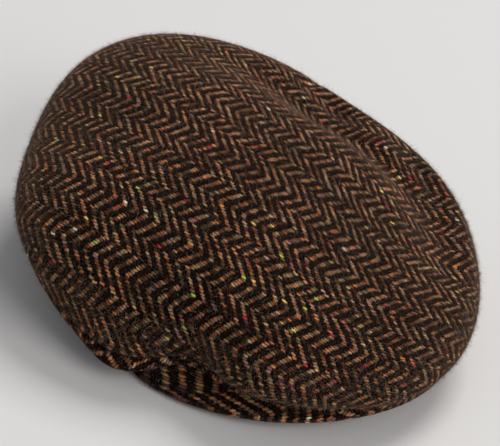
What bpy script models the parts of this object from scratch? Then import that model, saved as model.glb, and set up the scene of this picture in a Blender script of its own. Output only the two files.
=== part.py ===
"""A soft flat cap in herringbone tweed: crown top, crown side, peak and inner band.

Frame: metres, +Z up, the wearer's front towards -Y and the wearer's left towards +X. The origin is on
the surface that the cap lies on, under the middle of its outline.

Everything is set out on rays from the crown's middle. A ray has an angle, counted from the front towards
the wearer's left, and a reach, 1 on the ellipse of CROWN_WIDTH by CROWN_LENGTH. The rim, the head opening
and the peak's edge are each a reach for every angle, so that pieces which meet share one description.
"""
import bmesh
import bpy
import numpy as np

# Driving dimensions, in metres
CROWN_WIDTH = 0.236
CROWN_LENGTH = 0.247
CROWN_HEIGHT = 0.080
OPENING_WIDTH = 0.165
OPENING_LENGTH = 0.200
OPENING_SETBACK = 0.006
CLOTH = 0.002
CLEARANCE = 0.0003
SEAM_ALLOWANCE = 0.0010
ROLL_RADIUS = 0.005
STAND_HEIGHT = 0.018
STAND_AT_PEAK = 0.002
HEM_RISE = 0.022
PEAK_WIDTH = 0.200
PEAK_FRONT = 0.120
PEAK_BACK = 0.003
PEAK_THICKNESS = 0.0045
PEAK_ARCH = 0.0080
PEAK_EDGE_ROUND = 0.0012
BAND_HEIGHT = 0.019
BAND_THICKNESS = 0.0015
BAND_RECESS = 0.001

# Shape values without a unit
FORWARD_TILT = 0.20        # fall of the crown towards the front, per metre
MIDDLE_SHARE = 0.885       # height of the crown's middle, of CROWN_HEIGHT
VALLEY_WIDTH = 0.17        # half width of the valley, as a reach
PINCH_FADE = 5             # how soon a pinch fades from the rim to the middle
PEAK_CURL = 1.4            # how late the peak falls between its seam and its edge
PEAK_OVERRUN = 1.2         # how far past its edge the peak's fall is carried on
PEAK_END = 72.0            # angle where the peak runs into the hem, in degrees
PEAK_TAPER = 24.0          # angle over which the peak narrows to its ends, in degrees
HEM_START = 0.02           # cosine of the angle where the hem starts to rise
STAND_ROOM = 2.5           # height of side that a full stand needs, in stand heights
STAND_CURVE = 0.35         # how much of its fall the side makes last, above the stand
LIFT_START = 0.1           # share of the side over which its lift onto the peak sets in
LIFT_ROUND = 0.5           # roundness of that lift, of CLOTH
HEM_CURL = 1.15            # how late the hem rises
ARCH_SPAN = 0.46           # half width of the peak's arch, of PEAK_WIDTH
BELLY_CURVE = 27.0 / 4.0   # makes the highest value of t (1 - t) squared 1
SHARP_ANGLE = 50.0         # the peak is shaded sharp over this angle, in degrees

# Sections round the crown, every 30 degrees from the front towards the wearer's left.
# reach: widest point, of the crown's ellipse; rim: its height; turn: degrees that the top rolls under to its
# seam; tuck: how far the side follows the roll; valley: depth of the long dent; place: reach of its bottom.
# rim, tuck and valley are shares of CROWN_HEIGHT.
SECTIONS = (
    {"angle": 0, "reach": 1.000, "rim": 0.250, "turn": 60, "tuck": 0.15, "valley": 0.000, "place": 0.70},
    {"angle": 30, "reach": 0.980, "rim": 0.280, "turn": 60, "tuck": 0.16, "valley": 0.024, "place": 0.76},
    {"angle": 60, "reach": 0.945, "rim": 0.370, "turn": 50, "tuck": 0.19, "valley": 0.100, "place": 0.74},
    {"angle": 90, "reach": 0.964, "rim": 0.430, "turn": 45, "tuck": 0.24, "valley": 0.148, "place": 0.65},
    {"angle": 120, "reach": 0.950, "rim": 0.510, "turn": 45, "tuck": 0.28, "valley": 0.160, "place": 0.58},
    {"angle": 150, "reach": 0.978, "rim": 0.695, "turn": 45, "tuck": 0.33, "valley": 0.083, "place": 0.56},
    {"angle": 180, "reach": 0.985, "rim": 0.845, "turn": 45, "tuck": 0.38, "valley": 0.024, "place": 0.66},
    {"angle": 210, "reach": 0.980, "rim": 0.750, "turn": 45, "tuck": 0.33, "valley": 0.000, "place": 0.70},
    {"angle": 240, "reach": 0.955, "rim": 0.510, "turn": 40, "tuck": 0.28, "valley": 0.000, "place": 0.70},
    {"angle": 270, "reach": 0.992, "rim": 0.410, "turn": 25, "tuck": 0.24, "valley": 0.000, "place": 0.70},
    {"angle": 300, "reach": 0.960, "rim": 0.210, "turn": 5, "tuck": 0.14, "valley": 0.000, "place": 0.70},
    {"angle": 330, "reach": 0.985, "rim": 0.300, "turn": 55, "tuck": 0.10, "valley": 0.000, "place": 0.70},
)
# Pinches of the rim, where the crown is drawn back from the peak's edge
PINCHES = (
    {"angle": 315.5, "width": 10.5, "depth": 0.150},
)
# Bellies of the side panel, where it hangs out under the rim seam
BELLIES = (
    {"angle": 302.5, "width": 9.0, "depth": 0.065},
)

# Mesh counts
AROUND = 72
TOP_RINGS = 16
SIDE_RINGS = 10
PEAK_STEPS = 34
PEAK_RINGS = 7

# Colours, linear RGB
TWEED_COLOUR = (0.060, 0.032, 0.018, 1.0)
BAND_COLOUR = (0.020, 0.015, 0.012, 1.0)


def column(name):
    """One column of the sections' table as an array."""
    return np.array([row[name] for row in SECTIONS], dtype=float)


def around(angle, rows):
    """Value at an angle: a closed cubic curve, smooth in slope and bend, through equally spaced rows."""
    count = len(rows)
    unit = np.eye(count)
    system = 4.0 * unit + np.roll(unit, 1, axis=0) + np.roll(unit, -1, axis=0)
    slope = np.linalg.solve(system, 3.0 * (np.roll(rows, -1) - np.roll(rows, 1)))
    place = np.mod(angle / (2.0 * np.pi) * count, count)
    first = np.floor(place).astype(int) % count
    after = (first + 1) % count
    t = place - np.floor(place)
    ends = rows[first] * (1 + 2 * t) * (1 - t) ** 2 + rows[after] * t * t * (3 - 2 * t)
    bends = slope[first] * t * (1 - t) ** 2 - slope[after] * t * t * (1 - t)
    return ends + bends


def smooth_step(value):
    """Rises from 0 to 1 with level ends."""
    value = np.clip(value, 0.0, 1.0)
    return value * value * (3.0 - 2.0 * value)


def plan(angle, reach):
    """Plan position of a reach along a ray."""
    x = 0.5 * CROWN_WIDTH * reach * np.sin(angle)
    y = -0.5 * CROWN_LENGTH * reach * np.cos(angle)
    return x, y


def on_plan(angle, reach, height):
    """Points in space from reaches and heights."""
    x, y = plan(angle, reach)
    return np.stack([x, y, height], axis=-1)


def reach_of_ellipse(angle, half_width, half_length, middle):
    """Reach at which a ray meets an ellipse whose middle lies at y = middle."""
    across = 0.5 * CROWN_WIDTH * np.sin(angle)
    along = -0.5 * CROWN_LENGTH * np.cos(angle)
    square = (across / half_width) ** 2 + (along / half_length) ** 2
    linear = -2.0 * along * middle / half_length ** 2
    rest = (middle / half_length) ** 2 - 1.0
    return (-linear + np.sqrt(linear ** 2 - 4.0 * square * rest)) / (2.0 * square)


def opening_reach(angle, inset=0.0):
    """Reach of the head opening's wall, moved inwards by an inset."""
    half_width = 0.5 * OPENING_WIDTH - inset
    half_length = 0.5 * OPENING_LENGTH - inset
    return reach_of_ellipse(angle, half_width, half_length, OPENING_SETBACK)


def hem_height(angle):
    """Height of the hem: on the ground at the back and sides, rising to the front where the peak is sewn."""
    front = np.clip((np.cos(angle) - HEM_START) / (1.0 - HEM_START), 0.0, 1.0)
    return HEM_RISE * front ** HEM_CURL


def turn_from(angle, degrees):
    """Angle in degrees from a direction, between -180 and 180."""
    return (np.degrees(angle) - degrees + 180.0) % 360.0 - 180.0


def local_depth(angle, places):
    """Depth of a row of local forms, as a reach: a bell round each one's angle."""
    depth = np.zeros_like(angle)
    for place in places:
        depth = depth + place["depth"] * np.exp(-(turn_from(angle, place["angle"]) / place["width"]) ** 2)
    return depth


def rim_reach(angle):
    """Reach of the crown's widest point, with its pinches."""
    return around(angle, column("reach")) - local_depth(angle, PINCHES)


def rim_height(angle):
    """Height of the crown's rim."""
    return CROWN_HEIGHT * around(angle, column("rim"))


def peak_height(angle, reach):
    """Top of the peak: falls from the hem to an edge that is arched in the middle of the front."""
    inner = opening_reach(angle)
    outer = reach_of_ellipse(angle, 0.5 * PEAK_WIDTH, PEAK_FRONT - PEAK_BACK, -PEAK_BACK)
    share = np.clip((reach - inner) / (outer - inner), 0.0, PEAK_OVERRUN)
    side = np.abs(plan(angle, reach)[0]) / (ARCH_SPAN * PEAK_WIDTH)
    edge = PEAK_THICKNESS + PEAK_ARCH * (1.0 - np.minimum(side, 1.0) ** 2) ** 2
    seam = hem_height(angle) - CLEARANCE
    return edge + (seam - edge) * (1.0 - share ** PEAK_CURL)


def peak_reach(angle):
    """Reach of the peak's edge: an ellipse that narrows into the hem at both ends."""
    outer = reach_of_ellipse(angle, 0.5 * PEAK_WIDTH, PEAK_FRONT - PEAK_BACK, -PEAK_BACK)
    left = np.clip((PEAK_END - np.abs(np.degrees(angle))) / PEAK_TAPER, 0.0, 1.0)
    inner = opening_reach(angle)
    return inner + (outer - inner) * np.sqrt(left * (2.0 - left))


def valley(angle, reach):
    """Depth of the long dent, a smooth trough whose depth and place change round the crown."""
    depth = CROWN_HEIGHT * around(angle, column("valley"))
    place = around(angle, column("place"))
    fade = smooth_step((1.0 - reach) / VALLEY_WIDTH)
    return depth * np.exp(-((reach - place) / VALLEY_WIDTH) ** 2) * fade


def top_surface(angle, rise):
    """Crown top. rise goes from 0 at the widest point to a quarter turn at the middle.

    The plan shrinks with the cosine of the rise and the height grows with its sine, between the rim's
    height and the middle's, on a plane that falls forward. The pinches fade inwards, and the valley is
    pressed in last.
    """
    share = np.cos(rise)
    reach = share * around(angle, column("reach")) - share ** PINCH_FADE * local_depth(angle, PINCHES)
    x, y = plan(angle, reach)
    rim_y = plan(angle, rim_reach(angle))[1]
    rim = rim_height(angle) - FORWARD_TILT * rim_y
    middle = MIDDLE_SHARE * CROWN_HEIGHT
    height = FORWARD_TILT * y + rim + (middle - rim) * np.sin(rise)
    return np.stack([x, y, height - valley(angle, share)], axis=-1)


def roll_line(angle, share, onward=0.0):
    """Roll under the widest point, a round arc, at a share of its turn and then straight on by a length.

    It gives the reach and the height.
    """
    turn = np.radians(around(angle, column("turn"))) * share
    ray = np.hypot(*plan(angle, 1.0))
    inward = ROLL_RADIUS * (1.0 - np.cos(turn)) + onward * np.sin(turn)
    drop = ROLL_RADIUS * np.sin(turn) + onward * np.cos(turn)
    return rim_reach(angle) - inward / ray, rim_height(angle) - drop


def side_surface(angle, along):
    """Crown side. along goes from 0 next to the seam to 1 at the top of the hem's stand.

    A cubic curve that carries the roll on, turns in and comes down onto the stand. A belly pushes its upper
    part out, most at a third of the way. Over the peak the side is lifted to lie on the peak's top.
    """
    edge = CLEARANCE + 2.0 * SEAM_ALLOWANCE
    start, high = roll_line(angle, 1.0, edge)
    tuck = CROWN_HEIGHT * around(angle, column("tuck"))
    bend, under = roll_line(angle, 1.0, edge + tuck)
    end = opening_reach(angle)
    room = smooth_step((high - hem_height(angle)) / (STAND_ROOM * STAND_HEIGHT))
    low = hem_height(angle) + STAND_AT_PEAK + (STAND_HEIGHT - STAND_AT_PEAK) * room
    above = low + STAND_CURVE * np.maximum(high - low, 0.0)
    w0 = (1 - along) ** 3
    w1 = 3 * along * (1 - along) ** 2
    w2 = 3 * along ** 2 * (1 - along)
    w3 = along ** 3
    belly = BELLY_CURVE * along * (1 - along) ** 2 * local_depth(angle, BELLIES)
    reach = start * w0 + bend * w1 + end * (w2 + w3) + belly
    height = high * w0 + under * w1 + above * w2 + low * w3
    floor = peak_height(angle, reach) + CLEARANCE
    lifted = 0.5 * (height + floor + np.sqrt((height - floor) ** 2 + (LIFT_ROUND * CLOTH) ** 2))
    turn = np.abs(turn_from(angle, 0.0))
    over_peak = smooth_step((PEAK_END + PEAK_TAPER - turn) / PEAK_TAPER) * smooth_step(along / LIFT_START)
    return on_plan(angle, reach, height + (lifted - height) * over_peak)


def make_material(name, colour, roughness):
    """Plain Principled material."""
    material = bpy.data.materials.new(name)
    material.use_nodes = True
    shader = material.node_tree.nodes["Principled BSDF"]
    shader.inputs["Base Color"].default_value = colour
    shader.inputs["Roughness"].default_value = roughness
    shader.inputs["Metallic"].default_value = 0.0
    material.diffuse_color = colour
    return material


def section_line(angles, reach, below, top_reach=None):
    """Points along the peak at one reach, a distance below its top surface."""
    height = peak_height(angles, reach if top_reach is None else top_reach)
    return on_plan(angles, reach, height - below)


def bridge_rows(build, rows):
    """Four-sided faces between neighbouring closed rows of vertices."""
    for upper, lower in zip(rows[:-1], rows[1:]):
        for i in range(len(upper)):
            j = (i + 1) % len(upper)
            build.faces.new((upper[i], lower[i], lower[j], upper[j]))


def make_shell(name, rings, thickness, material, collection, pole=None):
    """Object lofted through rings of points, each a row of the array, then given its thickness inwards."""
    mesh = bpy.data.meshes.new(name)
    build = bmesh.new()
    rows = [[build.verts.new(point) for point in ring] for ring in rings]
    bridge_rows(build, rows)
    if pole is not None:
        tip = build.verts.new(pole)
        first = rows[0]
        for i in range(len(first)):
            build.faces.new((tip, first[i], first[(i + 1) % len(first)]))
    bmesh.ops.recalc_face_normals(build, faces=build.faces)
    build.to_mesh(mesh)
    build.free()
    mesh.shade_smooth()
    shell = bpy.data.objects.new(name, mesh)
    collection.objects.link(shell)
    mesh.materials.append(material)
    wall = shell.modifiers.new("wall", "SOLIDIFY")
    wall.thickness = thickness
    wall.offset = -1.0
    wall.use_even_offset = False
    return shell


def face_outwards(shell, inside):
    """Turns a shell's faces so that they look away from a point inside the cap."""
    mesh = shell.data
    total = 0.0
    for face in mesh.polygons:
        away = np.array(face.center) - np.array(inside)
        total += face.area * float(np.dot(away, np.array(face.normal)))
    if total < 0.0:
        mesh.flip_normals()


def make_crown_top(material, collection):
    """Domed top, closed at its middle, rolled under to the rim seam."""
    angles = np.linspace(0.0, 2.0 * np.pi, AROUND, endpoint=False)
    rises = np.linspace(0.5 * np.pi, 0.0, TOP_RINGS + 1)[1:]
    rings = [top_surface(angles, rise) for rise in rises]
    rings += [on_plan(angles, *roll_line(angles, share)) for share in (0.5, 1.0)]
    rings += [on_plan(angles, *roll_line(angles, 1.0, SEAM_ALLOWANCE))]
    pole = top_surface(np.array([0.0]), 0.5 * np.pi)[0]
    crown = make_shell("crown_top", rings, CLOTH, material, collection, pole)
    face_outwards(crown, (0.0, 0.0, 0.0))
    return crown


def make_crown_side(material, collection):
    """Side panel from the rim seam, under the crown and down to the hem."""
    angles = np.linspace(0.0, 2.0 * np.pi, AROUND, endpoint=False)
    edge = on_plan(angles, *roll_line(angles, 1.0, CLEARANCE + SEAM_ALLOWANCE))
    rings = [side_surface(angles, along) for along in np.linspace(0.0, 1.0, SIDE_RINGS + 1)]
    hem = rings[-1].copy()
    hem[:, 2] = hem_height(angles)
    side = make_shell("crown_side", [edge] + rings + [hem], CLOTH, material, collection)
    face_outwards(side, (0.0, 0.0, 0.5 * CROWN_HEIGHT))
    return side


def make_peak(material, collection):
    """Thin curved peak from the band's outer face to its rounded edge, lofted from end to end.

    A section runs along the top to the edge, round the edge and back along the underside.
    """
    end = np.radians(PEAK_END)
    angles = np.linspace(-end, end, PEAK_STEPS + 1)
    inner = opening_reach(angles, CLOTH)
    rounding = PEAK_EDGE_ROUND / (0.5 * CROWN_LENGTH)
    flat = peak_reach(angles) - rounding
    shares = np.linspace(0.0, 1.0, PEAK_RINGS + 1)
    top = [section_line(angles, inner + (flat - inner) * share, 0.0) for share in shares]
    under = [section_line(angles, inner + (flat - inner) * share, PEAK_THICKNESS) for share in shares]
    turns = np.radians((45.0, 0.0, -45.0))
    edge = []
    for turn in turns:
        below = 0.5 * PEAK_THICKNESS * (1.0 - np.sin(turn))
        edge.append(section_line(angles, flat + rounding * np.cos(turn), below, flat))
    sections = np.stack(top + edge + under[::-1], axis=1)
    mesh = bpy.data.meshes.new("peak")
    build = bmesh.new()
    rows = [[build.verts.new(point) for point in section] for section in sections]
    bridge_rows(build, rows)
    build.faces.new(rows[0])
    build.faces.new(rows[-1][::-1])
    bmesh.ops.recalc_face_normals(build, faces=build.faces)
    build.to_mesh(mesh)
    build.free()
    mesh.shade_smooth()
    mesh.set_sharp_from_angle(angle=np.radians(SHARP_ANGLE))
    mesh.materials.append(material)
    peak = bpy.data.objects.new("peak", mesh)
    collection.objects.link(peak)
    return peak


def make_band(material, collection):
    """Plain band that stands inside the head opening."""
    angles = np.linspace(0.0, 2.0 * np.pi, AROUND, endpoint=False)
    reach = opening_reach(angles, CLOTH + CLEARANCE)
    bottom = np.maximum(hem_height(angles) - PEAK_THICKNESS - CLEARANCE, BAND_RECESS)
    rings = [on_plan(angles, reach, bottom + BAND_HEIGHT * share) for share in (1.0, 0.5, 0.0)]
    band = make_shell("band", rings, BAND_THICKNESS, material, collection)
    face_outwards(band, (0.0, 0.0, 0.0))
    return band


def main():
    """Clears the scene and builds the cap."""
    for old in list(bpy.data.objects):
        bpy.data.objects.remove(old, do_unlink=True)
    collection = bpy.data.collections.new("flat_cap")
    bpy.context.scene.collection.children.link(collection)
    make_crown_top(make_material("crown_tweed", TWEED_COLOUR, 0.95), collection)
    make_crown_side(make_material("side_tweed", TWEED_COLOUR, 0.95), collection)
    make_peak(make_material("peak_tweed", TWEED_COLOUR, 0.95), collection)
    make_band(make_material("band_cloth", BAND_COLOUR, 0.85), collection)


main()
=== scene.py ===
"""Looks of a soft flat cap in herringbone tweed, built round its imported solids.

Metres, +Z up, the wearer's front towards -Y and the wearer's left towards +X. As in the solids, a point
of the cap is found by an angle, from the front towards the wearer's left, and a reach, 1 on the crown's
ellipse.
"""

import bpy
import numpy as np
from mathutils import Matrix, Vector


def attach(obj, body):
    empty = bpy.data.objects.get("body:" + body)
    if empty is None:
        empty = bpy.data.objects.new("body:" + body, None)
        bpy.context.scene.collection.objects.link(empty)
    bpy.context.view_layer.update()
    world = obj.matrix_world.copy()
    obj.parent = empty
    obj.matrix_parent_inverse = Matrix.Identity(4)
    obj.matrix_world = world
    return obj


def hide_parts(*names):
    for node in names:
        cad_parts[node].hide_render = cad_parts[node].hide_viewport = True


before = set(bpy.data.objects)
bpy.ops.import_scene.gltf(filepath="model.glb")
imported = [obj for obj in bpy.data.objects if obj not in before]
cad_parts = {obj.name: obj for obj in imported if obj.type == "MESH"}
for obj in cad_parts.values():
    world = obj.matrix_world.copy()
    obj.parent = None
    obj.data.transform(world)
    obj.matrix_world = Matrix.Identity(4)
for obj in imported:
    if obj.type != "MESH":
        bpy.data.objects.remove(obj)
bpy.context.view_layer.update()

# Sizes of the cap, in metres, as in its solids
CROWN_WIDTH = 0.236
CROWN_LENGTH = 0.247
CROWN_HEIGHT = 0.080
OPENING_WIDTH = 0.165
OPENING_LENGTH = 0.200
OPENING_SETBACK = 0.006
CLOTH = 0.002
CLEARANCE = 0.0003
SEAM_ALLOWANCE = 0.0010
ROLL_RADIUS = 0.005
STAND_HEIGHT = 0.018
STAND_AT_PEAK = 0.002
HEM_RISE = 0.022
PEAK_WIDTH = 0.200
PEAK_FRONT = 0.120
PEAK_BACK = 0.003
PEAK_THICKNESS = 0.0045
PEAK_ARCH = 0.0080
PEAK_EDGE_ROUND = 0.0012
BAND_HEIGHT = 0.019
BAND_THICKNESS = 0.0015
BAND_RECESS = 0.001

FORWARD_TILT = 0.20
MIDDLE_SHARE = 0.885
VALLEY_WIDTH = 0.17
PINCH_FADE = 5
PEAK_CURL = 1.4
PEAK_END = 72.0
PEAK_TAPER = 24.0
HEM_START = 0.02
STAND_ROOM = 2.5
STAND_CURVE = 0.35
HEM_CURL = 1.15
ARCH_SPAN = 0.46
BELLY_CURVE = 27.0 / 4.0
OVER_PEAK_FADE = 0.1
PEAK_PAST_EDGE = 1.2

# Sections round the crown every 30 degrees: reach, rim, turn, tuck, valley and the valley's place
SECTIONS = np.array((
    (1.000, 0.250, 60, 0.15, 0.000, 0.70),
    (0.980, 0.280, 60, 0.16, 0.024, 0.76),
    (0.945, 0.370, 50, 0.19, 0.100, 0.74),
    (0.964, 0.430, 45, 0.24, 0.148, 0.65),
    (0.950, 0.510, 45, 0.28, 0.160, 0.58),
    (0.978, 0.695, 45, 0.33, 0.083, 0.56),
    (0.985, 0.845, 45, 0.38, 0.024, 0.66),
    (0.980, 0.750, 45, 0.33, 0.000, 0.70),
    (0.955, 0.510, 40, 0.28, 0.000, 0.70),
    (0.992, 0.410, 25, 0.24, 0.000, 0.70),
    (0.960, 0.210, 5, 0.14, 0.000, 0.70),
    (0.985, 0.300, 55, 0.10, 0.000, 0.70),
))
REACH, RIM, TURN, TUCK, VALLEY, PLACE = range(6)
PINCH_ANGLE = 315.5
PINCH_WIDTH = 10.5
PINCH_DEPTH = 0.150
# Bellies of the side panel: angle, width in degrees and depth as a reach. The first is the solids' own, and
# the others let the cloth sag onto the peak.
BELLIES = (
    (302.5, 9.0, 0.065),
    (325.0, 12.0, 0.050),
    (346.0, 14.0, 0.035),
    (12.0, 16.0, 0.020),
)
# Soft folds of the crown top: x and y of the middle, direction in degrees, half length, half width and height
FOLDS = (
    (0.072, 0.050, 122.0, 0.018, 0.010, -0.0062),
    (0.079, 0.008, 92.0, 0.017, 0.009, 0.0044),
    (0.094, -0.014, 84.0, 0.022, 0.007, -0.0022),
    (0.035, -0.040, 55.0, 0.032, 0.013, -0.0016),
    (0.064, 0.068, 28.0, 0.014, 0.004, -0.0022),
    (-0.060, 0.020, 100.0, 0.030, 0.016, -0.0012),
)
FOLD_FADE = 0.07

# The cloth: distance between yarns, ends in a column, and the columns' turn from the front, in degrees
END_SPACING = 0.00116
PICK_SPACING = 0.00097
ENDS_IN_COLUMN = 8
FLOAT_LENGTH = 3
CLOTH_TURN = 30.0
PEAK_CLOTH_TURN = 20.0
# How the cloth is eased over the crown: slant of its picks, and bend of its columns at the back and the left
PICK_SLANT = 0.33
BACK_BEND = 5.0
BACK_BEND_START = 0.05
LEFT_BEND = 2.5
LEFT_BEND_START = (0.02, -0.06)

# Counts of rows and columns in the grids. HEM_ROWS are the side panel's last rows, which carry no stray wool,
# and RIM_ROWS the crown top's last rows, which carry more of it.
AROUND = 320
DOME_ROWS = 88
ROLL_ROWS = 9
SIDE_ROWS = 40
BAND_ROWS = 8
PEAK_ROWS = 24
PEAK_COLUMNS = 180
PEAK_EDGE_ROWS = 7
PEAK_EDGE_TURN = 67.5
STAND_SHARES = (0.35, 0.7, 1.0)
EDGE_TURNS = (45.0, 90.0, 135.0)
HEM_ROWS = 12
RIM_ROWS = 30
SEED = 7

# Stray wool: radius, depth of the root, bend as a share of the length, least and most slope from upright,
# radius half way along as a share, corners of one hair, shortest and longest hairs, and numbers of hairs
HAIR_RADIUS = 0.000045
HAIR_ROOT = 0.0002
HAIR_CURL = 0.45
HAIR_LEANS = (0.3, 2.2)
HAIR_WAIST = 0.7
HAIR_POINTS = 7
LONG_HAIRS = (0.0010, 0.0042)
SHORT_HAIRS = (0.0008, 0.0030)
TOP_HAIRS = 16000
RIM_HAIRS = 20000
SIDE_HAIRS = 6000
PEAK_HAIRS = 5000
HAIR_COLOURS = (
    (0.00, (0.020, 0.014, 0.012)),
    (0.35, (0.090, 0.050, 0.030)),
    (0.65, (0.200, 0.110, 0.060)),
    (0.90, (0.300, 0.220, 0.160)),
    (1.00, (0.450, 0.380, 0.320)),
)


# The cap's shape
def around(angle, column):
    """Value at an angle: a closed cubic curve through the sections' column, equally spaced."""
    rows = SECTIONS[:, column]
    count = len(rows)
    own = np.eye(count)
    system = 4.0 * own + np.roll(own, 1, axis=0) + np.roll(own, -1, axis=0)
    slope = np.linalg.solve(system, 3.0 * (np.roll(rows, -1) - np.roll(rows, 1)))
    place = np.mod(angle / (2.0 * np.pi) * count, count)
    first = np.floor(place).astype(int) % count
    after = (first + 1) % count
    t = place - np.floor(place)
    ends = rows[first] * (1 + 2 * t) * (1 - t) ** 2 + rows[after] * t * t * (3 - 2 * t)
    return ends + slope[first] * t * (1 - t) ** 2 - slope[after] * t * t * (1 - t)


def smooth_step(value):
    """Rises from 0 to 1 with level ends."""
    value = np.clip(value, 0.0, 1.0)
    return value * value * (3.0 - 2.0 * value)


def bump_at(value, width):
    """Bell that is 1 at nought and falls off over a width."""
    return np.exp(-(value / width) ** 2)


def turn_from(angle, degrees):
    """Angle in degrees from a direction, between -180 and 180."""
    return (np.degrees(angle) - degrees + 180.0) % 360.0 - 180.0


def plan(angle, reach):
    """Plan position of a reach along a ray."""
    return 0.5 * CROWN_WIDTH * reach * np.sin(angle), -0.5 * CROWN_LENGTH * reach * np.cos(angle)


def on_plan(angle, reach, height):
    """Points in space from reaches and heights."""
    x, y = plan(angle, reach)
    return np.stack([x, y, height + 0.0 * x], axis=-1)


def reach_of_ellipse(angle, half_width, half_length, middle):
    """Reach at which a ray meets an ellipse whose middle lies at y = middle."""
    across = 0.5 * CROWN_WIDTH * np.sin(angle)
    along = -0.5 * CROWN_LENGTH * np.cos(angle)
    square = (across / half_width) ** 2 + (along / half_length) ** 2
    linear = -2.0 * along * middle / half_length ** 2
    rest = (middle / half_length) ** 2 - 1.0
    return (-linear + np.sqrt(linear ** 2 - 4.0 * square * rest)) / (2.0 * square)


def opening_reach(angle, inset=0.0):
    """Reach of the head opening's wall, moved inwards by an inset."""
    return reach_of_ellipse(angle, 0.5 * OPENING_WIDTH - inset, 0.5 * OPENING_LENGTH - inset, OPENING_SETBACK)


def hem_height(angle):
    """Height of the hem: level at the back and sides, rising by a power of the cosine to the front."""
    front = np.clip((np.cos(angle) - HEM_START) / (1.0 - HEM_START), 0.0, 1.0)
    return HEM_RISE * front ** HEM_CURL


def pinch_depth(angle):
    """How far the crown is drawn back from the peak's edge, as a reach: a bell round one angle."""
    return PINCH_DEPTH * bump_at(turn_from(angle, PINCH_ANGLE), PINCH_WIDTH)


def rim_reach(angle):
    """Reach of the crown's widest point."""
    return around(angle, REACH) - pinch_depth(angle)


def rim_height(angle):
    """Height of the crown's rim."""
    return CROWN_HEIGHT * around(angle, RIM)


def peak_height(angle, reach):
    """Top of the peak: falls by a power of the share from the hem to an edge arched in the middle."""
    inner = opening_reach(angle)
    outer = reach_of_ellipse(angle, 0.5 * PEAK_WIDTH, PEAK_FRONT - PEAK_BACK, -PEAK_BACK)
    share = np.clip((reach - inner) / (outer - inner), 0.0, PEAK_PAST_EDGE)
    side = np.abs(plan(angle, reach)[0]) / (ARCH_SPAN * PEAK_WIDTH)
    edge = PEAK_THICKNESS + PEAK_ARCH * (1.0 - np.minimum(side, 1.0) ** 2) ** 2
    seam = hem_height(angle) - CLEARANCE
    return edge + (seam - edge) * (1.0 - share ** PEAK_CURL)


def peak_reach(angle):
    """Reach of the peak's edge: an ellipse that narrows into the hem at both ends."""
    outer = reach_of_ellipse(angle, 0.5 * PEAK_WIDTH, PEAK_FRONT - PEAK_BACK, -PEAK_BACK)
    left = np.clip((PEAK_END - np.abs(np.degrees(angle))) / PEAK_TAPER, 0.0, 1.0)
    inner = opening_reach(angle)
    return inner + (outer - inner) * np.sqrt(left * (2.0 - left))


def valley(angle, reach):
    """Depth of the long dent: a bell across it whose depth and place change round the crown."""
    fade = smooth_step((1.0 - reach) / VALLEY_WIDTH)
    depth = CROWN_HEIGHT * around(angle, VALLEY)
    return depth * bump_at(reach - around(angle, PLACE), VALLEY_WIDTH) * fade


def folds(x, y):
    """Height of the soft folds: a sum of stretched bells, each turned to its own direction."""
    total = 0.0 * x
    for middle_x, middle_y, direction, half_length, half_width, height in FOLDS:
        turn = np.radians(direction)
        along = (x - middle_x) * np.cos(turn) + (y - middle_y) * np.sin(turn)
        across = (y - middle_y) * np.cos(turn) - (x - middle_x) * np.sin(turn)
        total = total + height * bump_at(along, half_length) * bump_at(across, half_width)
    return total


def top_surface(angle, rise):
    """Crown top: the plan shrinks with the cosine of the rise and the height grows with its sine.

    The height runs from the rim's to the middle's on a plane that falls forward, less the valley, and the
    soft folds fade out at the rim.
    """
    share = np.cos(rise)
    reach = share * around(angle, REACH) - share ** PINCH_FADE * pinch_depth(angle)
    x, y = plan(angle, reach)
    rim = rim_height(angle) - FORWARD_TILT * plan(angle, rim_reach(angle))[1]
    height = FORWARD_TILT * y + rim + (MIDDLE_SHARE * CROWN_HEIGHT - rim) * np.sin(rise)
    height = height - valley(angle, share) + folds(x, y) * smooth_step((1.0 - share) / FOLD_FADE)
    return np.stack([x, y, height], axis=-1)


def roll_line(angle, share, onward=0.0):
    """Round roll under the widest point at a share of its turn, and then straight on by a length."""
    turn = np.radians(around(angle, TURN)) * share
    inward = ROLL_RADIUS * (1.0 - np.cos(turn)) + onward * np.sin(turn)
    drop = ROLL_RADIUS * np.sin(turn) + onward * np.cos(turn)
    return rim_reach(angle) - inward / np.hypot(*plan(angle, 1.0)), rim_height(angle) - drop


def side_surface(angle, along):
    """Crown side: a cubic curve that carries the roll on, turns in and comes down onto the stand.

    Over the peak it is lifted to lie on the peak's top.
    """
    edge = CLEARANCE + 2.0 * SEAM_ALLOWANCE
    start, high = roll_line(angle, 1.0, edge)
    bend, under = roll_line(angle, 1.0, edge + CROWN_HEIGHT * around(angle, TUCK))
    end = opening_reach(angle)
    room = smooth_step((high - hem_height(angle)) / (STAND_ROOM * STAND_HEIGHT))
    low = hem_height(angle) + STAND_AT_PEAK + (STAND_HEIGHT - STAND_AT_PEAK) * room
    above = low + STAND_CURVE * np.maximum(high - low, 0.0)
    w0, w1 = (1 - along) ** 3, 3 * along * (1 - along) ** 2
    w2, w3 = 3 * along ** 2 * (1 - along), along ** 3
    belly = sum(depth * bump_at(turn_from(angle, place), width) for place, width, depth in BELLIES)
    reach = start * w0 + bend * w1 + end * (w2 + w3) + BELLY_CURVE * along * (1 - along) ** 2 * belly
    height = high * w0 + under * w1 + above * w2 + low * w3
    floor = peak_height(angle, reach) + CLEARANCE
    lifted = 0.5 * (height + floor + np.sqrt((height - floor) ** 2 + (0.5 * CLOTH) ** 2))
    turn = np.abs(turn_from(angle, 0.0))
    over_peak = smooth_step((PEAK_END + PEAK_TAPER - turn) / PEAK_TAPER) * smooth_step(along / OVER_PEAK_FADE)
    return on_plan(angle, reach, height + (lifted - height) * over_peak)


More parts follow.
